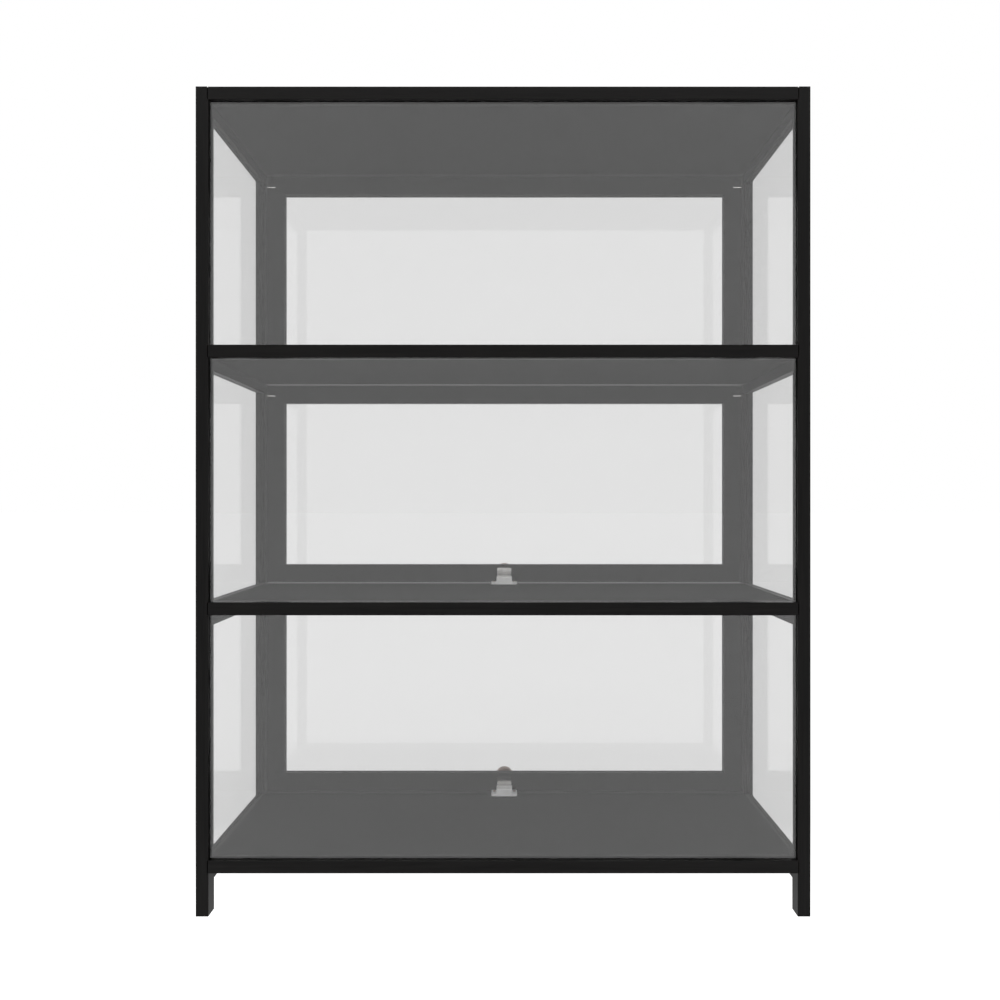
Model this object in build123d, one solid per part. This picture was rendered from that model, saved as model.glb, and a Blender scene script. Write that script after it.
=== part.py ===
from build123d import *
import os

# Tower display case: a black wood frame with three glazed tiers, one above the other.
#
# The frame is square bar: four posts that run to the floor as legs, with rails between them.
# Fixed glass sits in grooves at the front and the sides. Each tier has a glazed back door that
# hangs on two pins at its top corners. A magnetic catch on the tier's floor holds the door shut by
# a steel strike plate on its bottom rail, and a round knob on the outside lifts it.
#
# Millimetres. +X is to the right seen from the front, +Y to the back and +Z up. The origin is on
# the floor, at the middle of the whole object's plan with the knobs included.

# Whole case
CASE_WIDTH = 915.0
CASE_DEPTH = 236.0
LEG_HEIGHT = 64.0
TIER_HEIGHT = 365.0
TIERS = ("lower", "middle", "upper")
LEVELS = ("bottom", "lower_shelf", "upper_shelf", "top")

# Frame
BAR = 19.0
SIDE_RAIL_HEIGHT = 36.0
SIDE_RAIL_THICKNESS = 16.0
EDGE_ROUND = 0.6
RAIL_HOUSING = 2.1
SHADOW_LINE_WIDTH = 1.5
SHADOW_LINE_DEPTH = 2.5

# Fixed glass
PANE_THICKNESS = 4.0
PANE_RECESS = 3.7
PANE_IN_GROOVE = 5.0
GLASS_PLAY = 0.1

# Back doors
DOOR_THICKNESS = 12.0
DOOR_MEMBER = 32.5
DOOR_GAP = 1.5
DOOR_PANE_THICKNESS = 3.0
DOOR_TOP_ROUND = 8.0
TENON_THICKNESS = 4.0
TENON_LENGTH = 20.0
TENON_HEIGHT = 19.0
WOOD_PLAY = 0.05

# Door pivots
PIVOT_BELOW_CEILING = 20.0
PIVOT_IN_DOOR = 1.0
PIVOT_PIN_RADIUS = 1.75
PIVOT_PIN_IN_DOOR = 15.7
PIVOT_PIN_IN_POST = 9.0
PIVOT_RUNNING_FIT = 0.08
PIVOT_BORE_SPARE = 0.5

# Dowels
DOWEL_RADIUS = 3.0
DOWEL_LENGTH = 24.0
DOWEL_IN_POST = 9.0
DOWEL_IN_EDGE = 6.0
DOWEL_PLAY = 0.05
SIDE_RAIL_DOWEL_DROPS = (12.0, 24.0)
PANEL_DOWELS = 4
PANEL_DOWEL_PITCH = 200.0

# Magnetic catch on a tier's floor: a housing with two ears, and a magnet between two pole plates
CATCH_DEPTH = 18.4
CATCH_BASE_WIDTH = 46.6
CATCH_BASE_THICKNESS = 4.0
CATCH_WIDTH = 28.0
CATCH_HEIGHT = 12.8
CATCH_CORNER_ROUND = 1.2
CATCH_EDGE_ROUND = 1.0
CATCH_AIR_GAP = 0.2
POLE_THICKNESS = 1.5
POLE_LENGTH = 12.0
POLE_WIDTH = 20.0
POLE_PROUD = 0.6
MAGNET_THICKNESS = 5.0
CATCH_PLAY = 0.05

# Strike plate on the door
STRIKE_WIDTH = 26.0
STRIKE_THICKNESS = 1.5
STRIKE_LOW = 4.1
STRIKE_HIGH = 28.1
STRIKE_CORNER_ROUND = 1.5
STRIKE_SCREW_HEIGHTS = (9.8, 22.4)
STRIKE_SCREW_LENGTH = 9.5

# Countersunk screws: each kind is its shank radius, head radius and head height
WOOD_SCREW = (1.4, 2.8, 1.5)
KNOB_SCREW = (1.9, 2.9, 1.4)
CATCH_SCREW_OFFSET = 18.3
CATCH_SCREW_FROM_DOOR = 6.0
CATCH_SCREW_LENGTH = 16.0
SCREW_PLAY = 0.05
SCREW_SLOT_WIDTH = 0.7
SCREW_SLOT_DEPTH = 0.7

# Knob on the outside of the door
KNOB_HEIGHT = 17.8
KNOB_RADIUS = 16.6
KNOB_NECK_RADIUS = 8.0
KNOB_NECK_LENGTH = 7.0
KNOB_PROJECTION = 22.0
KNOB_RIM_ROUND = 4.0
KNOB_BACK_ROUND = 3.0
KNOB_SCREW_IN_KNOB = 10.0

# Worked out from the above
OVERALL_DEPTH = CASE_DEPTH + KNOB_PROJECTION
FRONT = -OVERALL_DEPTH / 2
BACK = FRONT + CASE_DEPTH
OUTSIDE = CASE_WIDTH / 2
INSIDE = OUTSIDE - BAR
FRONT_BAR_BACK = FRONT + BAR
REAR_BAR_FRONT = BACK - BAR
TIER_PITCH = TIER_HEIGHT + BAR
CASE_HEIGHT = LEG_HEIGHT + len(TIERS) * TIER_PITCH + BAR
LEVEL_TOPS = [LEG_HEIGHT + BAR + level * TIER_PITCH for level in range(len(LEVELS))]
DOOR_INNER = BACK - DOOR_THICKNESS
DOOR_HALF_WIDTH = INSIDE - DOOR_GAP
DOOR_OPENING_HALF_WIDTH = DOOR_HALF_WIDTH - DOOR_MEMBER
PIVOT_Y = DOOR_INNER + PIVOT_IN_DOOR
POLE_REAR = DOOR_INNER - STRIKE_THICKNESS - CATCH_AIR_GAP
HOUSING_REAR = POLE_REAR - POLE_PROUD
KNOB_SCREW_LENGTH = DOOR_THICKNESS + KNOB_SCREW_IN_KNOB

parts = {}


def block(x, y, z):
    """A box between the low and high ends of x, y and z."""
    spans = (x, y, z)
    size = [high - low for low, high in spans]
    middle = [(high + low) / 2 for low, high in spans]
    return Pos(*middle) * Box(*size)


def bar(x, y, z, along):
    """A wood bar, as a box with the edges along its length slightly rounded."""
    plain = block(x, y, z)
    return fillet(plain.edges().filter_by(along), EDGE_ROUND)


def rod(radius, start, direction, length):
    """A round rod from a start point."""
    ends = (Align.CENTER, Align.CENTER, Align.MIN)
    return Plane(origin=start, z_dir=direction) * Cylinder(radius, length, align=ends)


def cut(solid, cutters):
    """The solid without the cutters that reach its box."""
    box = solid.bounding_box()
    near = [cutter for cutter in cutters if box.overlaps(cutter.bounding_box())]
    return solid - near if near else solid


def tier_floor(tier):
    """Height of the floor inside a tier."""
    return LEVEL_TOPS[TIERS.index(tier)]


# Fixed glass


def front_pane(tier, play=0.0):
    """The front glass of a tier, or with play the groove that holds it."""
    reach = PANE_IN_GROOVE + play
    floor = tier_floor(tier)
    front = FRONT + PANE_RECESS
    return block(
        (-INSIDE - reach, INSIDE + reach),
        (front - play, front + PANE_THICKNESS + play),
        (floor - reach, floor + TIER_HEIGHT + reach),
    )


def side_pane(tier, side, play=0.0):
    """The glass on one side of a tier, or with play the groove that holds it."""
    reach = PANE_IN_GROOVE + play
    floor = tier_floor(tier)
    ceiling = floor + TIER_HEIGHT + BAR - SIDE_RAIL_HEIGHT
    middle = side * (INSIDE + SIDE_RAIL_THICKNESS / 2)
    half = PANE_THICKNESS / 2 + play
    return block(
        (middle - half, middle + half),
        (FRONT_BAR_BACK - reach, REAR_BAR_FRONT + reach),
        (floor - reach, ceiling + reach),
    )


# Dowels


def dowel_places():
    """Start point and direction of every dowel. The start is the end in the post or the rail."""
    places = []
    for top in LEVEL_TOPS:
        bar_middle = top - BAR / 2
        for side in (-1, 1):
            for bar_y in (FRONT + BAR / 2, BACK - BAR / 2):
                start = (side * (INSIDE + DOWEL_IN_POST), bar_y, bar_middle)
                places.append((start, (-side, 0, 0)))
            for drop in SIDE_RAIL_DOWEL_DROPS:
                rail_x = side * (INSIDE + SIDE_RAIL_THICKNESS / 2)
                places += edge_dowels(rail_x, top - drop)
        for index in range(PANEL_DOWELS):
            panel_x = (index - (PANEL_DOWELS - 1) / 2) * PANEL_DOWEL_PITCH
            places += edge_dowels(panel_x, bar_middle)
    return places


def edge_dowels(x, z):
    """The two dowels that hold a side rail or a panel at its front and back ends."""
    front = ((x, FRONT_BAR_BACK - DOWEL_IN_EDGE, z), (0, 1, 0))
    rear = ((x, REAR_BAR_FRONT + DOWEL_IN_EDGE, z), (0, -1, 0))
    return [front, rear]


# Back doors


def pivot_rod(tier, side, play=0.0, spare=0.0):
    """One pivot pin of a door, or with play the bore that it turns in."""
    height = tier_floor(tier) + TIER_HEIGHT - PIVOT_BELOW_CEILING
    inner_end = DOOR_HALF_WIDTH - PIVOT_PIN_IN_DOOR
    outer_end = INSIDE + PIVOT_PIN_IN_POST + spare
    start = (side * inner_end, PIVOT_Y, height)
    return rod(PIVOT_PIN_RADIUS + play, start, (side, 0, 0), outer_end - inner_end)


def door_envelope(tier):
    """The door's outline in side view, with the outside of its top edge rounded to clear the rail."""
    bottom = tier_floor(tier) + DOOR_GAP
    top = tier_floor(tier) + TIER_HEIGHT - DOOR_GAP
    slab = block((-DOOR_HALF_WIDTH, DOOR_HALF_WIDTH), (DOOR_INNER, BACK), (bottom, top))
    lengthwise = slab.edges().filter_by(Axis.X)
    outer_top = lengthwise.group_by(Axis.Z)[-1].sort_by(Axis.Y)[-1]
    rounded = fillet(outer_top, DOOR_TOP_ROUND)
    sharp = rounded.edges().filter_by(Axis.X).group_by(Axis.Z)[0]
    return fillet(sharp, EDGE_ROUND)


def door_pane(tier, play=0.0):
    """The glass of a door, or with play the groove that holds it."""
    reach = PANE_IN_GROOVE + play
    opening = DOOR_OPENING_HALF_WIDTH + reach
    middle = DOOR_INNER + DOOR_THICKNESS / 2
    half = DOOR_PANE_THICKNESS / 2 + play
    bottom = tier_floor(tier) + DOOR_GAP + DOOR_MEMBER - reach
    top = tier_floor(tier) + TIER_HEIGHT - DOOR_GAP - DOOR_MEMBER + reach
    return block((-opening, opening), (middle - half, middle + half), (bottom, top))


def tenons(low, play=0.0):
    """The tongue through a door rail that stands out at both ends, or with play its mortises."""
    reach = DOOR_OPENING_HALF_WIDTH + TENON_LENGTH + play
    middle_y = DOOR_INNER + DOOR_THICKNESS / 2
    middle_z = low + DOOR_MEMBER / 2
    half_thickness = TENON_THICKNESS / 2 + play
    half_height = TENON_HEIGHT / 2 + play
    return block(
        (-reach, reach),
        (middle_y - half_thickness, middle_y + half_thickness),
        (middle_z - half_height, middle_z + half_height),
    )


def make_door(tier):
    """The five nodes of one back door."""
    envelope = door_envelope(tier)
    bottom = tier_floor(tier) + DOOR_GAP
    top = tier_floor(tier) + TIER_HEIGHT - DOOR_GAP
    depth = (DOOR_INNER, BACK)
    groove = door_pane(tier, GLASS_PLAY)
    rail_lows = {"bottom": bottom, "top": top - DOOR_MEMBER}

    mortises = [tenons(low, WOOD_PLAY) for low in rail_lows.values()]
    stiles = []
    for side in (-1, 1):
        edges = sorted((side * DOOR_OPENING_HALF_WIDTH, side * DOOR_HALF_WIDTH))
        stile = block(edges, depth, (bottom, top)) & envelope
        pin_groove = pivot_rod(tier, side, WOOD_PLAY)
        stiles.append(cut(stile, mortises + [groove, pin_groove]))
    parts[f"{tier}_door_stiles"] = Compound(children=stiles)

    width = (-DOOR_OPENING_HALF_WIDTH, DOOR_OPENING_HALF_WIDTH)
    for name, low in rail_lows.items():
        rail = block(width, depth, (low, low + DOOR_MEMBER)) & envelope
        parts[f"{tier}_door_{name}_rail"] = cut(rail + tenons(low), [groove])
    bores = [knob_screw(tier, SCREW_PLAY)]
    bores += [strike_screw(tier, height, SCREW_PLAY) for height in STRIKE_SCREW_HEIGHTS]
    parts[f"{tier}_door_bottom_rail"] -= bores

    parts[f"{tier}_door_glass"] = door_pane(tier)
    pins = [pivot_rod(tier, side) for side in (-1, 1)]
    parts[f"{tier}_door_pivot_pins"] = Compound(children=pins)


# Screws


def screw_body(kind, head, direction, length, play=0.0):
    """A countersunk screw from the middle of its head, or with play the hole that it sits in."""
    shank_radius, head_radius, head_height = kind
    shank = rod(shank_radius + play, head, direction, length + play)
    ends = (Align.CENTER, Align.CENTER, Align.MIN)
    cone = Cone(head_radius + play, shank_radius + play, head_height, align=ends)
    return shank + Plane(origin=head, z_dir=direction) * cone


def screw(kind, head, direction, length):
    """A countersunk screw with a cross slot."""
    reach = kind[1]
    slots = [
        Box(reach, SCREW_SLOT_WIDTH, 2 * SCREW_SLOT_DEPTH),
        Box(SCREW_SLOT_WIDTH, reach, 2 * SCREW_SLOT_DEPTH),
    ]
    plane = Plane(origin=head, z_dir=direction)
    return screw_body(kind, head, direction, length) - [plane * slot for slot in slots]


def catch_screw_heads(tier):
    """The points on top of a catch's ears that its two screws go down from."""
    y = DOOR_INNER - CATCH_SCREW_FROM_DOOR
    z = tier_floor(tier) + CATCH_BASE_THICKNESS
    return [(side * CATCH_SCREW_OFFSET, y, z) for side in (-1, 1)]


def catch_screw_hole(head):
    """The hole for a catch screw in the housing and in the wood below it."""
    return screw_body(WOOD_SCREW, head, (0, 0, -1), CATCH_SCREW_LENGTH, SCREW_PLAY)


def strike_screw_head(tier, height):
    """The point on the strike plate's face that a screw goes in from."""
    return (0, DOOR_INNER - STRIKE_THICKNESS, tier_floor(tier) + height)


def strike_screw(tier, height, play):
    """The hole for a strike plate screw."""
    head = strike_screw_head(tier, height)
    return screw_body(WOOD_SCREW, head, (0, 1, 0), STRIKE_SCREW_LENGTH, play)


def knob_screw(tier, play):
    """The hole for the screw that holds the knob."""
    return screw_body(KNOB_SCREW, knob_screw_head(tier), (0, 1, 0), KNOB_SCREW_LENGTH, play)


def knob_screw_head(tier):
    """The point on the door's inner face, under the strike plate, that the knob's screw enters."""
    return (0, DOOR_INNER, tier_floor(tier) + KNOB_HEIGHT)


# Knobs and strike plates


def make_knob(tier):
    """The knob of a door and all the screws of the door."""
    axis = (0, 1, 0)
    centre_z = tier_floor(tier) + KNOB_HEIGHT
    head_start = (0, BACK + KNOB_NECK_LENGTH, centre_z)
    head = rod(KNOB_RADIUS, head_start, axis, KNOB_PROJECTION - KNOB_NECK_LENGTH)
    rims = head.edges().filter_by(GeomType.CIRCLE).sort_by(Axis.Y)
    head = fillet(rims[-1], KNOB_RIM_ROUND)
    rims = head.edges().filter_by(GeomType.CIRCLE).sort_by(Axis.Y)
    head = fillet(rims[0], KNOB_BACK_ROUND)
    neck = rod(KNOB_NECK_RADIUS, (0, BACK, centre_z), axis, KNOB_NECK_LENGTH)
    parts[f"{tier}_knob_grip"] = head + neck - knob_screw(tier, SCREW_PLAY)

    screws = [screw(KNOB_SCREW, knob_screw_head(tier), axis, KNOB_SCREW_LENGTH)]
    for height in STRIKE_SCREW_HEIGHTS:
        head_place = strike_screw_head(tier, height)
        screws.append(screw(WOOD_SCREW, head_place, axis, STRIKE_SCREW_LENGTH))
    parts[f"{tier}_door_screws"] = Compound(children=screws)


def make_strike(tier):
    """The steel plate on a door's inner face that the magnet holds."""
    floor = tier_floor(tier)
    half = STRIKE_WIDTH / 2
    depth = (DOOR_INNER - STRIKE_THICKNESS, DOOR_INNER)
    plate = block((-half, half), depth, (floor + STRIKE_LOW, floor + STRIKE_HIGH))
    plate = fillet(plate.edges().filter_by(Axis.Y), STRIKE_CORNER_ROUND)
    holes = [strike_screw(tier, height, SCREW_PLAY) for height in STRIKE_SCREW_HEIGHTS]
    parts[f"{tier}_strike_plate"] = plate - holes


# Magnetic catches


def stack_layer(tier, low, high, rear, play=0.0):
    """A layer of the magnet stack, between two heights in it, or with play the space for it."""
    stack_height = MAGNET_THICKNESS + 2 * POLE_THICKNESS
    bottom = tier_floor(tier) + (CATCH_HEIGHT - stack_height) / 2
    half = POLE_WIDTH / 2 + play
    front = POLE_REAR - POLE_LENGTH - play
    return block((-half, half), (front, rear), (bottom + low - play, bottom + high + play))


def make_catches():
    """The housings, magnets and pole plates of the catches, each kind in one node."""
    housings = []
    magnets = []
    poles = []
    magnet_low = POLE_THICKNESS
    magnet_high = magnet_low + MAGNET_THICKNESS
    stack_high = magnet_high + POLE_THICKNESS
    for tier in TIERS:
        floor = tier_floor(tier)
        depth = (DOOR_INNER - CATCH_DEPTH, HOUSING_REAR)
        half_base = CATCH_BASE_WIDTH / 2
        base = block((-half_base, half_base), depth, (floor, floor + CATCH_BASE_THICKNESS))
        base = fillet(base.edges().filter_by(Axis.Z), CATCH_CORNER_ROUND)
        half = CATCH_WIDTH / 2
        body = block((-half, half), depth, (floor, floor + CATCH_HEIGHT))
        body = fillet(body.edges().group_by(Axis.Z)[-1], CATCH_EDGE_ROUND)
        space = stack_layer(tier, 0, stack_high, POLE_REAR, CATCH_PLAY)
        holes = [catch_screw_hole(head) for head in catch_screw_heads(tier)]
        housings.append((base + body - [space] - holes).solids()[0])
        magnets.append(stack_layer(tier, magnet_low, magnet_high, HOUSING_REAR))
        poles.append(stack_layer(tier, 0, magnet_low, POLE_REAR))
        poles.append(stack_layer(tier, magnet_high, stack_high, POLE_REAR))
    parts["catch_housings"] = Compound(children=housings)
    parts["catch_magnets"] = Compound(children=magnets)
    parts["catch_pole_plates"] = Compound(children=poles)
    heads = [head for tier in TIERS for head in catch_screw_heads(tier)]
    screws = [screw(WOOD_SCREW, head, (0, 0, -1), CATCH_SCREW_LENGTH) for head in heads]
    parts["catch_screws"] = Compound(children=screws)


# Frame


def long_rail(row, depth, top):
    """A front or rear rail. Its ends are housed in the posts, stepped back to a shadow line."""
    reach = INSIDE + RAIL_HOUSING
    rail = bar((-reach, reach), depth, (top - BAR, top), Axis.X)
    face = {"front": FRONT, "rear": BACK}[row]
    for side in (-1, 1):
        width = sorted((side * reach, side * (reach - SHADOW_LINE_WIDTH)))
        step = (face - SHADOW_LINE_DEPTH, face + SHADOW_LINE_DEPTH)
        rail -= block(width, step, (top - BAR, top))
    return rail


def make_frame():
    """Posts, rails and panels, with the grooves and holes cut in them."""
    sides = {"left": -1, "right": 1}
    grooves = [front_pane(tier, GLASS_PLAY) for tier in TIERS]
    grooves += [side_pane(tier, side, GLASS_PLAY) for tier in TIERS for side in sides.values()]
    places = dowel_places()
    bores = []
    for start, direction in places:
        back_off = Vector(*start) - Vector(*direction) * DOWEL_PLAY
        length = DOWEL_LENGTH + 2 * DOWEL_PLAY
        bores.append(rod(DOWEL_RADIUS + DOWEL_PLAY, back_off, direction, length))
    for tier in TIERS:
        for side in sides.values():
            bores.append(pivot_rod(tier, side, PIVOT_RUNNING_FIT, PIVOT_BORE_SPARE))
        bores += [catch_screw_hole(head) for head in catch_screw_heads(tier)]
    cutters = grooves + bores

    rows = {"front": (FRONT, FRONT_BAR_BACK), "rear": (REAR_BAR_FRONT, BACK)}
    housing = INSIDE + RAIL_HOUSING
    for row, depth in rows.items():
        housings = [block((-housing, housing), depth, (top - BAR, top)) for top in LEVEL_TOPS]
        for side_name, side in sides.items():
            width = sorted((side * INSIDE, side * OUTSIDE))
            post = bar(width, depth, (0, CASE_HEIGHT), Axis.Z)
            parts[f"{row}_{side_name}_post"] = cut(post, housings + cutters)
        for level, top in zip(LEVELS, LEVEL_TOPS):
            parts[f"{row}_{level}_rail"] = cut(long_rail(row, depth, top), cutters)

    between = (FRONT_BAR_BACK, REAR_BAR_FRONT)
    for level, top in zip(LEVELS, LEVEL_TOPS):
        for side_name, side in sides.items():
            width = sorted((side * INSIDE, side * (INSIDE + SIDE_RAIL_THICKNESS)))
            rail = bar(width, between, (top - SIDE_RAIL_HEIGHT, top), Axis.Y)
            parts[f"{side_name}_{level}_rail"] = cut(rail, cutters)
        panel = block((-INSIDE, INSIDE), between, (top - BAR, top))
        parts[f"{level}_panel"] = cut(panel, cutters)

    dowels = [rod(DOWEL_RADIUS, start, direction, DOWEL_LENGTH) for start, direction in places]
    parts["frame_dowels"] = Compound(children=dowels)


make_frame()
for tier in TIERS:
    parts[f"{tier}_front_glass"] = front_pane(tier)
    parts[f"{tier}_side_glass"] = Compound(children=[side_pane(tier, side) for side in (-1, 1)])
    make_door(tier)
    make_knob(tier)
    make_strike(tier)
make_catches()

os.makedirs("parts", exist_ok=True)
for name, solid in parts.items():
    export_step(solid, f"parts/{name}.step")
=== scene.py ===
import math

import bmesh
import bpy
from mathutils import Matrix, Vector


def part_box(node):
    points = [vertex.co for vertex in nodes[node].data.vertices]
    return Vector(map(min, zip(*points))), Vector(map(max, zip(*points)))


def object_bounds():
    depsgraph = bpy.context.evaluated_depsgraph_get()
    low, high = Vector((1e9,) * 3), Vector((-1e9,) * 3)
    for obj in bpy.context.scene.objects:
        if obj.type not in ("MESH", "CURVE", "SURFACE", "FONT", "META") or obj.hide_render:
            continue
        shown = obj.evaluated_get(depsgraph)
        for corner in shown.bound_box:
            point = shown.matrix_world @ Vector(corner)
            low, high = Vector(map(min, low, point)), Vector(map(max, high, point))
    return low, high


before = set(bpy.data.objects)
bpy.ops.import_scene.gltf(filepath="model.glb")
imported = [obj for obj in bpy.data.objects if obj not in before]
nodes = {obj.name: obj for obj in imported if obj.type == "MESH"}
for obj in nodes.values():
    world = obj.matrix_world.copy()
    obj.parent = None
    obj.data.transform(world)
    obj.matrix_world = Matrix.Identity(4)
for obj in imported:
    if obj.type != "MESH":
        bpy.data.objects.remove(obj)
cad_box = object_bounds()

MM = 0.001

# Camera, from the front face of the case
CAMERA_DISTANCE = 935.5 * MM
CAMERA_RIGHT = 9.6 * MM
CAMERA_HEIGHT = 619 * MM
LENS = 22.64
SENSOR = 36.0
SHIFT_X = -0.0095
SHIFT_Y = 0.0005

# Light: even white surroundings, brighter in front of the case, and a bright band high in front.
# Bounds of the front and of the band are coordinates of a direction of length 1.
WORLD_STRENGTH = 1.0
FRONT_EXTRA = 0.45
FRONT_STARTS = 0.05
FRONT_IS_FULL = -0.10
LAMP_EXTRA = 4.5
LAMP_LOW = 0.72
LAMP_LOW_BLUR = 0.06
LAMP_HIGH = 0.93
LAMP_HIGH_BLUR = 0.02

# Floor, whose glow grows from the first y to the second, like the surroundings
FLOOR_SIZE = 60.0
FLOOR_GLOW = 0.945
FLOOR_FRONT_STARTS = 0.15
FLOOR_FRONT_IS_FULL = -0.15
FLOOR_ALBEDO = 0.04
FLOOR_MOTTLE = 1.05
FLOOR_ROUGHNESS = 0.9

scene = bpy.context.scene


# Node helpers

# Sockets of a colour mix node, which have no names of their own
MIX_FIRST = 6
MIX_SECOND = 7
MIX_RESULT = 2


class Graph:
    """A material's node tree, with short calls to add and join nodes."""

    def __init__(self, name):
        self.material = bpy.data.materials.new(name)
        self.material.use_nodes = True
        self.tree = self.material.node_tree
        self.shader = self.tree.nodes["Principled BSDF"]

    def add(self, kind, **values):
        """A node with its properties set."""
        node = self.tree.nodes.new(kind)
        for name, value in values.items():
            setattr(node, name, value)
        return node

    def join(self, output, socket):
        """A link from an output to a socket."""
        self.tree.links.new(output, socket)

    def feed(self, output, name):
        """A link from an output to one of the shader's inputs."""
        self.join(output, self.shader.inputs[name])

    def set(self, name, value):
        """A fixed value on one of the shader's inputs."""
        self.shader.inputs[name].default_value = value

    def place(self, scale=(1.0, 1.0, 1.0)):
        """Object coordinates in metres, stretched by scale."""
        coordinates = self.add("ShaderNodeTexCoord")
        mapping = self.add("ShaderNodeMapping")
        mapping.inputs["Scale"].default_value = scale
        self.join(coordinates.outputs["Object"], mapping.inputs["Vector"])
        return mapping.outputs["Vector"]

    def noise(self, vector, scale, detail=3.0, roughness=0.5):
        """A noise value between 0 and 1."""
        node = self.add("ShaderNodeTexNoise")
        node.inputs["Scale"].default_value = scale
        node.inputs["Detail"].default_value = detail
        node.inputs["Roughness"].default_value = roughness
        self.join(vector, node.inputs["Vector"])
        return node.outputs["Fac"]

    def spread(self, value, low, high, to_low, to_high):
        """value mapped from one range to another and held inside it."""
        node = self.add("ShaderNodeMapRange", clamp=True)
        node.inputs["From Min"].default_value = low
        node.inputs["From Max"].default_value = high
        node.inputs["To Min"].default_value = to_low
        node.inputs["To Max"].default_value = to_high
        self.join(value, node.inputs["Value"])
        return node.outputs["Result"]

    def math(self, operation, first, second):
        """A math node on two values, each an output or a number."""
        node = self.add("ShaderNodeMath", operation=operation)
        for index, value in enumerate((first, second)):
            if isinstance(value, (int, float)):
                node.inputs[index].default_value = value
            else:
                self.join(value, node.inputs[index])
        return node.outputs["Value"]

    def colours(self, value, low, high):
        """A colour between two colours."""
        node = self.add("ShaderNodeMix", data_type="RGBA")
        node.inputs[MIX_FIRST].default_value = (*low, 1.0)
        node.inputs[MIX_SECOND].default_value = (*high, 1.0)
        self.join(value, node.inputs["Factor"])
        return node.outputs[MIX_RESULT]

    def blend(self, value, colour, other):
        """A colour output turned towards another colour."""
        node = self.add("ShaderNodeMix", data_type="RGBA")
        self.join(colour, node.inputs[MIX_FIRST])
        node.inputs[MIX_SECOND].default_value = (*other, 1.0)
        self.join(value, node.inputs["Factor"])
        return node.outputs[MIX_RESULT]

    def bump(self, height, strength, distance):
        """Bump on the shader's normal."""
        node = self.add("ShaderNodeBump")
        node.inputs["Strength"].default_value = strength
        node.inputs["Distance"].default_value = distance
        self.join(height, node.inputs["Height"])
        self.feed(node.outputs["Normal"], "Normal")


# Materials

GRAIN_STRETCH = 0.025
BLACK_STAIN = (0.0011, 0.0010, 0.0010)
PALER_STAIN = (0.0045, 0.0042, 0.0040)
# Edge colour of the black wood: a painted highlight on the arrises, and rubbed wear
WOOD_EDGE_HIGHLIGHT_AND_WEAR = (0.016, 0.0135, 0.012)
BAR_GLOSS = 0.065
BAR_ROUGHNESS = (0.28, 0.40)
PANEL_GLOSS = 0.012
PANEL_ROUGHNESS = (0.60, 0.72)

# The side panes' index is fitted. Real glass is about 1.5.
PANE_GREY = 0.831
PANE_INDEX = 1.5
SIDE_PANE_GREY = 0.825
SIDE_PANE_INDEX = 1.30
SMEAR_ROUGHNESS = 0.006

MARK_STRETCH = 0.02
STEEL_GREY = (0.55, 0.54, 0.52)
PALER_STEEL = (0.64, 0.63, 0.61)
# Steel edge colour: a painted highlight on the arrises, and wear
STEEL_EDGE = (0.86, 0.86, 0.85)
ALUMINIUM_GREY = (0.88, 0.88, 0.87)
PALER_ALUMINIUM = (0.96, 0.96, 0.95)
# Aluminium edge colour: a painted highlight on the arrises, and wear
ALUMINIUM_EDGE = (0.97, 0.97, 0.96)
ALUMINIUM_METALLIC = 0.1
BRONZE_BROWN = (0.22, 0.10, 0.075)
PALER_BRONZE = (0.42, 0.22, 0.17)
# Bronze edge colour: a painted highlight on the arrises, and wear
BRONZE_EDGE = (0.62, 0.42, 0.34)
BRONZE_METALLIC = 0.8
FERRITE_GREY = (0.05, 0.05, 0.052)
PALER_FERRITE = (0.09, 0.09, 0.095)
KNOB_DARK = (0.090, 0.032, 0.008)
KNOB_PALER = (0.230, 0.090, 0.026)
# Knob edge colour: a painted highlight on the rim and arrises, and wear
KNOB_EDGE = (0.34, 0.17, 0.07)
KNOB_SWIRL_STRETCH = 0.08
KNOB_VARNISH = 0.4
KNOB_VARNISH_ROUGHNESS = 0.10
BEECH_STRETCH = 0.2
BEECH_BROWN = (0.50, 0.34, 0.19)
PALER_BEECH = (0.66, 0.48, 0.30)

# Edges: how far the painted edge highlight and wear reach, and the cosines of the bevel's turn where they
# start and are full
EDGE_REACH = 1.2 * MM
EDGE_STARTS = 0.99
EDGE_IS_FULL = 0.85


def stretched(axis, stretch):
    """A scale that draws a texture out along one axis."""
    scale = [1.0, 1.0, 1.0]
    scale[axis] = stretch
    return scale


def edge_highlight_and_wear(graph, low, high):
    """1 on edges, which carry a painted highlight and wear, and 0 on flat faces, broken up by a noise
    between low and high.
    """
    bevel = graph.add("ShaderNodeBevel", samples=4)
    bevel.inputs["Radius"].default_value = EDGE_REACH
    geometry = graph.add("ShaderNodeNewGeometry")
    facing = graph.add("ShaderNodeVectorMath", operation="DOT_PRODUCT")
    graph.join(bevel.outputs["Normal"], facing.inputs[0])
    graph.join(geometry.outputs["Normal"], facing.inputs[1])
    edge = graph.spread(facing.outputs["Value"], EDGE_STARTS, EDGE_IS_FULL, 0.0, 1.0)
    noise = graph.noise(graph.place(), scale=45.0, detail=5.0, roughness=0.65)
    patches = graph.spread(noise, low, high, 0.0, 1.0)
    return graph.math("MULTIPLY", edge, patches)


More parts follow.
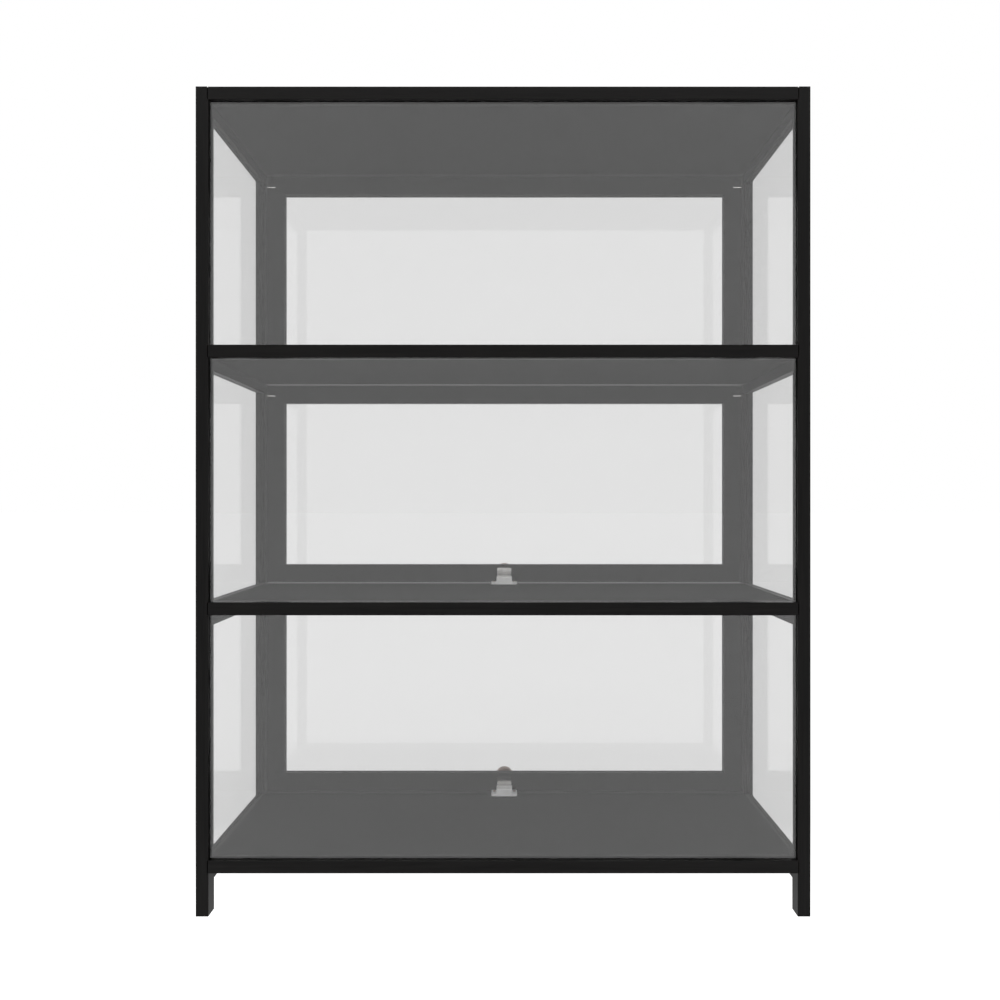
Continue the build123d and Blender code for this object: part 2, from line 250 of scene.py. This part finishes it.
def black_wood(name, axis, gloss=BAR_GLOSS, roughness=BAR_ROUGHNESS):
    """Black-stained wood with fine grain along one axis, and edges painted a little lighter: a painted
    highlight and rubbed wear.
    """
    graph = Graph(name)
    along = graph.place(stretched(axis, GRAIN_STRETCH))
    figure = graph.noise(along, scale=150.0, detail=5.0, roughness=0.6)
    pores = graph.noise(along, scale=1600.0, detail=2.0)
    lines = graph.noise(along, scale=400.0, detail=3.0)
    fine = graph.math("ADD", graph.math("MULTIPLY", pores, 0.35), graph.math("MULTIPLY", lines, 0.3))
    grain = graph.math("ADD", graph.math("MULTIPLY", figure, 0.35), fine)
    shade = graph.spread(grain, 0.36, 0.64, 0.0, 1.0)
    stained = graph.colours(shade, BLACK_STAIN, PALER_STAIN)
    # Lighter edges: a painted highlight along the arrises, broken up by noise like rubbed wear
    highlight_and_wear = edge_highlight_and_wear(graph, 0.50, 0.72)
    graph.feed(graph.blend(highlight_and_wear, stained, WOOD_EDGE_HIGHLIGHT_AND_WEAR), "Base Color")
    smooth, rough = roughness
    dull = graph.spread(grain, 0.35, 0.65, rough, smooth)
    graph.feed(graph.math("SUBTRACT", dull, graph.math("MULTIPLY", highlight_and_wear, 0.1)), "Roughness")
    graph.set("Specular IOR Level", gloss)
    graph.bump(grain, strength=0.35, distance=0.12 * MM)
    return graph.material


def clear_glass(name, grey, index):
    """Float glass, very slightly grey, with faint smears in its surface."""
    graph = Graph(name)
    graph.set("Base Color", (grey, grey, grey, 1.0))
    smears = graph.noise(graph.place(), scale=14.0, detail=4.0, roughness=0.6)
    graph.feed(graph.spread(smears, 0.55, 0.8, 0.0, SMEAR_ROUGHNESS), "Roughness")
    graph.set("IOR", index)
    graph.set("Transmission Weight", 1.0)
    return graph.material


def steel(name, axis):
    """Bright steel with fine polishing marks along one axis."""
    graph = Graph(name)
    marks = graph.noise(graph.place(stretched(axis, MARK_STRETCH)), scale=2600.0)
    smudges = graph.noise(graph.place(), scale=60.0)
    mixed = graph.math("ADD", graph.math("MULTIPLY", marks, 0.5), graph.math("MULTIPLY", smudges, 0.5))
    base = graph.colours(smudges, STEEL_GREY, PALER_STEEL)
    # Paler edges: a painted highlight along the arrises, broken up by noise like wear
    graph.feed(graph.blend(edge_highlight_and_wear(graph, 0.3, 0.6), base, STEEL_EDGE), "Base Color")
    graph.feed(graph.spread(mixed, 0.35, 0.65, 0.14, 0.24), "Roughness")
    graph.set("Metallic", 1.0)
    graph.bump(marks, strength=0.12, distance=0.03 * MM)
    return graph.material


def aluminium():
    """Pale satin die-cast aluminium, shaded nearly non-metallic so that it stays pale."""
    graph = Graph("satin_aluminium")
    skin = graph.noise(graph.place(), scale=1500.0)
    clouds = graph.noise(graph.place(), scale=120.0)
    base = graph.colours(clouds, ALUMINIUM_GREY, PALER_ALUMINIUM)
    # Paler edges: a painted highlight along the arrises, broken up by noise like wear
    graph.feed(graph.blend(edge_highlight_and_wear(graph, 0.2, 0.5), base, ALUMINIUM_EDGE), "Base Color")
    graph.feed(graph.spread(skin, 0.3, 0.7, 0.42, 0.56), "Roughness")
    graph.set("Metallic", ALUMINIUM_METALLIC)
    graph.bump(skin, strength=0.2, distance=0.04 * MM)
    return graph.material


def bronze():
    """Dark antique bronze of the screws."""
    graph = Graph("bronze_screw")
    stains = graph.noise(graph.place(), scale=500.0)
    base = graph.colours(stains, BRONZE_BROWN, PALER_BRONZE)
    # Paler edges: a painted highlight along the arrises, broken up by noise like wear
    graph.feed(graph.blend(edge_highlight_and_wear(graph, 0.3, 0.6), base, BRONZE_EDGE), "Base Color")
    graph.feed(graph.spread(stains, 0.3, 0.7, 0.28, 0.48), "Roughness")
    graph.set("Metallic", BRONZE_METALLIC)
    graph.bump(stains, strength=0.2, distance=0.05 * MM)
    return graph.material


def ferrite():
    """Dull dark grey magnet ceramic."""
    graph = Graph("magnet_grey")
    grit = graph.noise(graph.place(), scale=2200.0, detail=4.0)
    graph.feed(graph.colours(grit, FERRITE_GREY, PALER_FERRITE), "Base Color")
    graph.feed(graph.spread(grit, 0.3, 0.7, 0.55, 0.75), "Roughness")
    graph.bump(grit, strength=0.3, distance=0.05 * MM)
    return graph.material


def knob_brown():
    """Turned knob in dark brown varnished wood."""
    graph = Graph("knob_brown")
    swirl = graph.noise(graph.place((1.0, 1.0, KNOB_SWIRL_STRETCH)), scale=420.0, detail=5.0, roughness=0.6)
    clouds = graph.noise(graph.place(), scale=70.0)
    mixed = graph.math("ADD", graph.math("MULTIPLY", swirl, 0.6), graph.math("MULTIPLY", clouds, 0.4))
    shade = graph.spread(mixed, 0.38, 0.62, 0.0, 1.0)
    base = graph.colours(shade, KNOB_DARK, KNOB_PALER)
    # Lighter edges: a painted highlight along the rim and arrises, broken up by noise like wear
    graph.feed(graph.blend(edge_highlight_and_wear(graph, 0.45, 0.70), base, KNOB_EDGE), "Base Color")
    graph.feed(graph.spread(clouds, 0.3, 0.7, 0.22, 0.34), "Roughness")
    graph.set("Coat Weight", KNOB_VARNISH)
    graph.set("Coat Roughness", KNOB_VARNISH_ROUGHNESS)
    graph.bump(swirl, strength=0.15, distance=0.05 * MM)
    return graph.material


def beech():
    """Plain beech dowels."""
    graph = Graph("dowel_wood")
    grain = graph.noise(graph.place((1.0, 1.0, BEECH_STRETCH)), scale=700.0)
    graph.feed(graph.colours(grain, BEECH_BROWN, PALER_BEECH), "Base Color")
    graph.feed(graph.spread(grain, 0.3, 0.7, 0.55, 0.70), "Roughness")
    graph.bump(grain, strength=0.3, distance=0.08 * MM)
    return graph.material


def paint(name, material):
    """Gives a CAD node one material."""
    for slot in nodes[name].material_slots:
        slot.material = material


def longest_axis(name):
    """The axis that a node is longest along."""
    low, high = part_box(name)
    size = [high[axis] - low[axis] for axis in range(3)]
    return size.index(max(size))


X_AXIS = 0
Z_AXIS = 2
WOODS = [black_wood(f"black_wood_{letter}", axis) for axis, letter in enumerate("xyz")]
STEEL = steel("steel_x", X_AXIS)
PANEL = black_wood("panel_black", X_AXIS, PANEL_GLOSS, PANEL_ROUGHNESS)
GLASS = clear_glass("clear_glass", PANE_GREY, PANE_INDEX)
SIDE_GLASS = clear_glass("side_glass", SIDE_PANE_GREY, SIDE_PANE_INDEX)
ALUMINIUM = aluminium()
FERRITE = ferrite()
BRONZE = bronze()
KNOB = knob_brown()
BEECH = beech()

for name in nodes:
    if name.endswith("_side_glass"):
        paint(name, SIDE_GLASS)
    elif name.endswith("_glass"):
        paint(name, GLASS)
    elif name.endswith("_panel"):
        paint(name, PANEL)
    elif name == "frame_dowels":
        paint(name, BEECH)
    elif name == "catch_screws":
        paint(name, BRONZE)
    elif name == "catch_housings":
        paint(name, ALUMINIUM)
    elif name == "catch_magnets":
        paint(name, FERRITE)
    elif name.endswith(("_pole_plates", "_pivot_pins", "_strike_plate", "_door_screws")):
        paint(name, STEEL)
    elif name.endswith("_knob_grip"):
        paint(name, KNOB)
    elif name.endswith("_stiles"):
        paint(name, WOODS[Z_AXIS])
    else:
        paint(name, WOODS[longest_axis(name)])


# Surroundings


def make_floor():
    """A plain pale floor."""
    mesh = bpy.data.meshes.new("floor")
    form = bmesh.new()
    bmesh.ops.create_grid(form, x_segments=1, y_segments=1, size=FLOOR_SIZE / 2)
    form.to_mesh(mesh)
    form.free()
    floor = bpy.data.objects.new("floor", mesh)
    scene.collection.objects.link(floor)
    graph = Graph("floor_white")
    mottle = graph.noise(graph.place(), scale=3.0, detail=2.0)
    pale = (FLOOR_ALBEDO,) * 3
    paler = (FLOOR_ALBEDO * FLOOR_MOTTLE,) * 3
    graph.feed(graph.colours(mottle, pale, paler), "Base Color")
    graph.set("Roughness", FLOOR_ROUGHNESS)
    graph.set("Specular IOR Level", 0.0)
    graph.set("Emission Color", (1.0, 1.0, 1.0, 1.0))
    place = graph.add("ShaderNodeSeparateXYZ")
    graph.join(graph.place(), place.inputs["Vector"])
    bounds = (FLOOR_FRONT_STARTS, FLOOR_FRONT_IS_FULL)
    glow = graph.spread(place.outputs["Y"], *bounds, FLOOR_GLOW, FLOOR_GLOW + FRONT_EXTRA)
    graph.feed(glow, "Emission Strength")
    mesh.materials.append(graph.material)


def make_world():
    """White surroundings that light everything evenly, with a broad soft light high at the front."""
    world = bpy.data.worlds.new("studio")
    scene.world = world
    world.use_nodes = True
    tree = world.node_tree
    background = tree.nodes["Background"]
    background.inputs["Color"].default_value = (1.0, 1.0, 1.0, 1.0)

    coordinates = tree.nodes.new("ShaderNodeTexCoord")
    direction = tree.nodes.new("ShaderNodeSeparateXYZ")
    tree.links.new(coordinates.outputs["Generated"], direction.inputs["Vector"])

    def rise(axis, start, end):
        """A smooth step from 0 at start to 1 at end of one coordinate of the direction."""
        step = tree.nodes.new("ShaderNodeMapRange")
        step.interpolation_type = "SMOOTHSTEP"
        step.inputs["From Min"].default_value = start
        step.inputs["From Max"].default_value = end
        tree.links.new(direction.outputs[axis], step.inputs["Value"])
        return step.outputs["Result"]

    def combine(operation, *values):
        """A math node on outputs or numbers."""
        node = tree.nodes.new("ShaderNodeMath")
        node.operation = operation
        for index, value in enumerate(values):
            if isinstance(value, float):
                node.inputs[index].default_value = value
            else:
                tree.links.new(value, node.inputs[index])
        return node.outputs["Value"]

    front = rise("Y", FRONT_STARTS, FRONT_IS_FULL)
    above = rise("Z", LAMP_LOW, LAMP_LOW + LAMP_LOW_BLUR)
    below = rise("Z", LAMP_HIGH, LAMP_HIGH - LAMP_HIGH_BLUR)
    band = combine("MULTIPLY", above, below)
    lamp = combine("MULTIPLY", front, band)
    even = combine("MULTIPLY_ADD", front, FRONT_EXTRA, WORLD_STRENGTH)
    strength = combine("MULTIPLY_ADD", lamp, LAMP_EXTRA, even)
    tree.links.new(strength, background.inputs["Strength"])


def make_camera():
    """The camera in front of the case, level, looking along its depth."""
    low, high = cad_box
    data = bpy.data.cameras.new("camera")
    data.lens = LENS
    data.sensor_width = SENSOR
    data.shift_x = SHIFT_X
    data.shift_y = SHIFT_Y
    camera = bpy.data.objects.new("camera", data)
    middle = (low[0] + high[0]) / 2
    camera.location = (middle + CAMERA_RIGHT, low[1] - CAMERA_DISTANCE, low[2] + CAMERA_HEIGHT)
    camera.rotation_euler = (math.radians(90), 0, 0)
    scene.collection.objects.link(camera)
    scene.camera = camera


scene.view_settings.view_transform = "Standard"
make_floor()
make_world()
make_camera()
